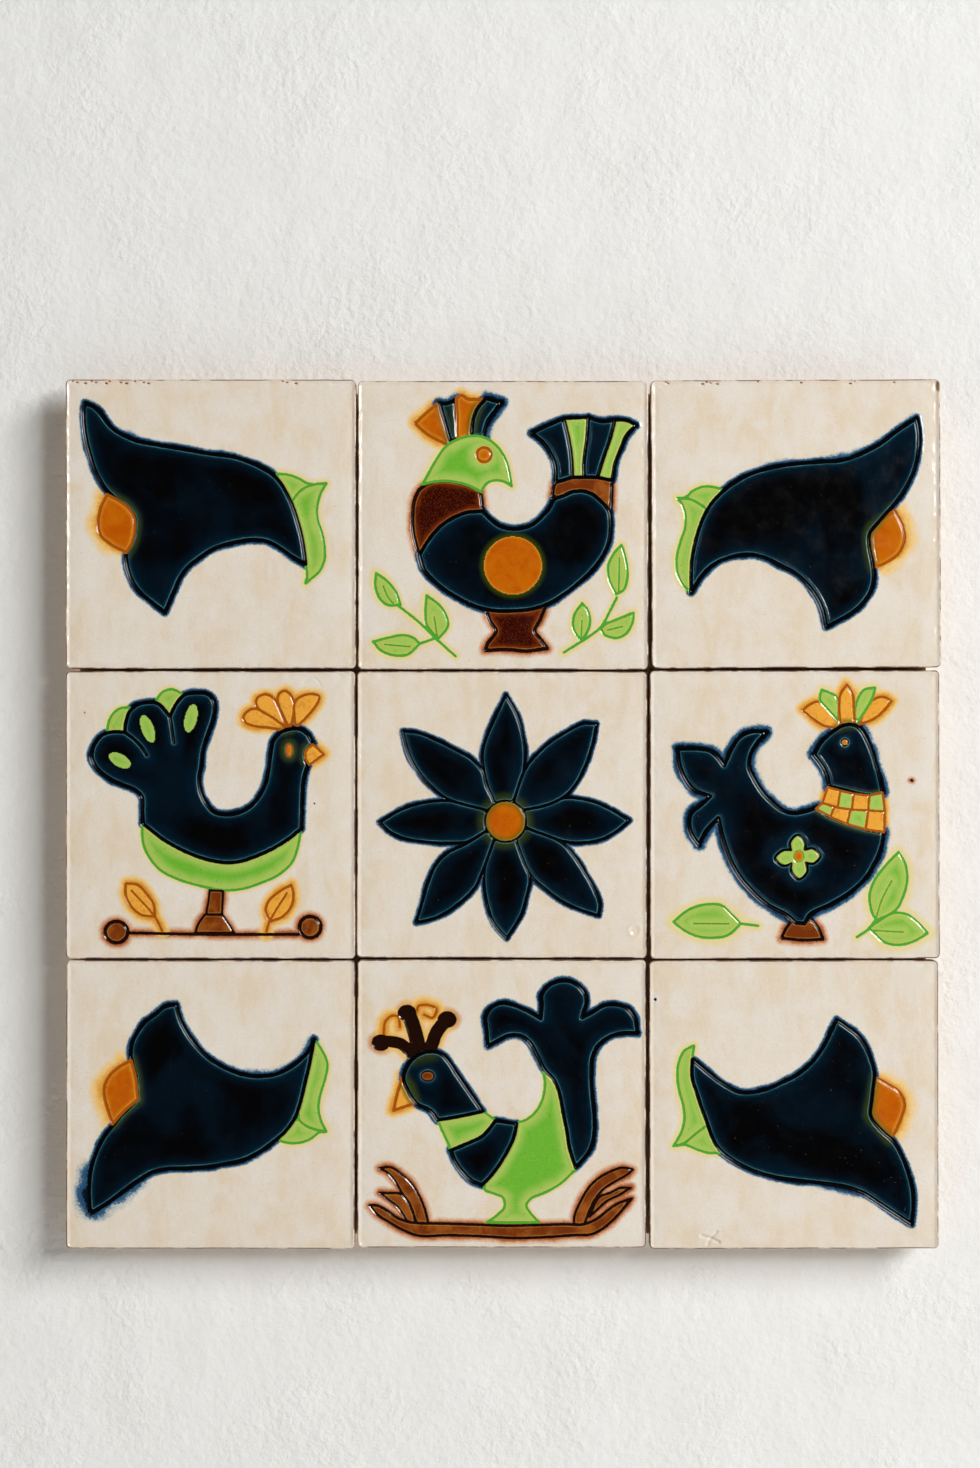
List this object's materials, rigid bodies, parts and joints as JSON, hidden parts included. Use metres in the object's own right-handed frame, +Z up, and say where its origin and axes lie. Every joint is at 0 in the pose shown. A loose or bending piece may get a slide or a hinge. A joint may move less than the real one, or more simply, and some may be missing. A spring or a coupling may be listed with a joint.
{
  "type": "hand painted ceramic tile wall panel",
  "caption": "Square wall panel of incised, hand painted glazed tiles with birds and flowers, on a plywood board with swinging D ring hangers and rubber bumpers behind.",
  "frame": {"origin": "on the face of the wall, behind the middle of the panel: the plane of the bumpers' rear faces", "axes": "+Z up, +Y into the wall, +X to the right of someone who faces the panel; the glaze looks along -Y"},
  "size_m": [0.3021, 0.0178, 0.3],
  "materials": {
    "tile_glaze": "glossy cream glaze with incised motifs painted in dark blue, green, amber and brown",
    "tile_adhesive": "matt set adhesive",
    "plywood": "bare sanded birch plywood",
    "zinc_steel": "bright zinc plate",
    "black_rubber": "matt"
  },
  "bodies": {
    "panel": {"tile_top_left": "tile_glaze", "tile_top_middle": "tile_glaze", "tile_top_right": "tile_glaze", "tile_middle_left": "tile_glaze", "tile_centre": "tile_glaze", "tile_middle_right": "tile_glaze", "tile_bottom_left": "tile_glaze", "tile_bottom_middle": "tile_glaze", "tile_bottom_right": "tile_glaze", "bed_top_left": "tile_adhesive", "bed_top_middle": "tile_adhesive", "bed_top_right": "tile_adhesive", "bed_middle_left": "tile_adhesive", "bed_centre": "tile_adhesive", "bed_middle_right": "tile_adhesive", "bed_bottom_left": "tile_adhesive", "bed_bottom_middle": "tile_adhesive", "bed_bottom_right": "tile_adhesive", "backing_board": "plywood", "hanger_left": "zinc_steel", "screw_left_upper": "zinc_steel", "screw_left_lower": "zinc_steel", "bumper_top_left": "black_rubber", "bumper_bottom_left": "black_rubber", "hanger_right": "zinc_steel", "screw_right_upper": "zinc_steel", "screw_right_lower": "zinc_steel", "bumper_top_right": "black_rubber", "bumper_bottom_right": "black_rubber"},
    "left_ring": {"ring_left": "zinc_steel"},
    "right_ring": {"ring_right": "zinc_steel"}
  },
  "joints": [
    {"name": "ring_left_swing", "type": "hinge", "parent": "panel", "child": "left_ring", "pos_m": [-0.09, -0.0024, 0.112], "axis": [1, 0, 0], "range_deg": [0, 180]},
    {"name": "ring_right_swing", "type": "hinge", "parent": "panel", "child": "right_ring", "pos_m": [0.09, -0.0024, 0.112], "axis": [1, 0, 0], "range_deg": [0, 180]}
  ]
}
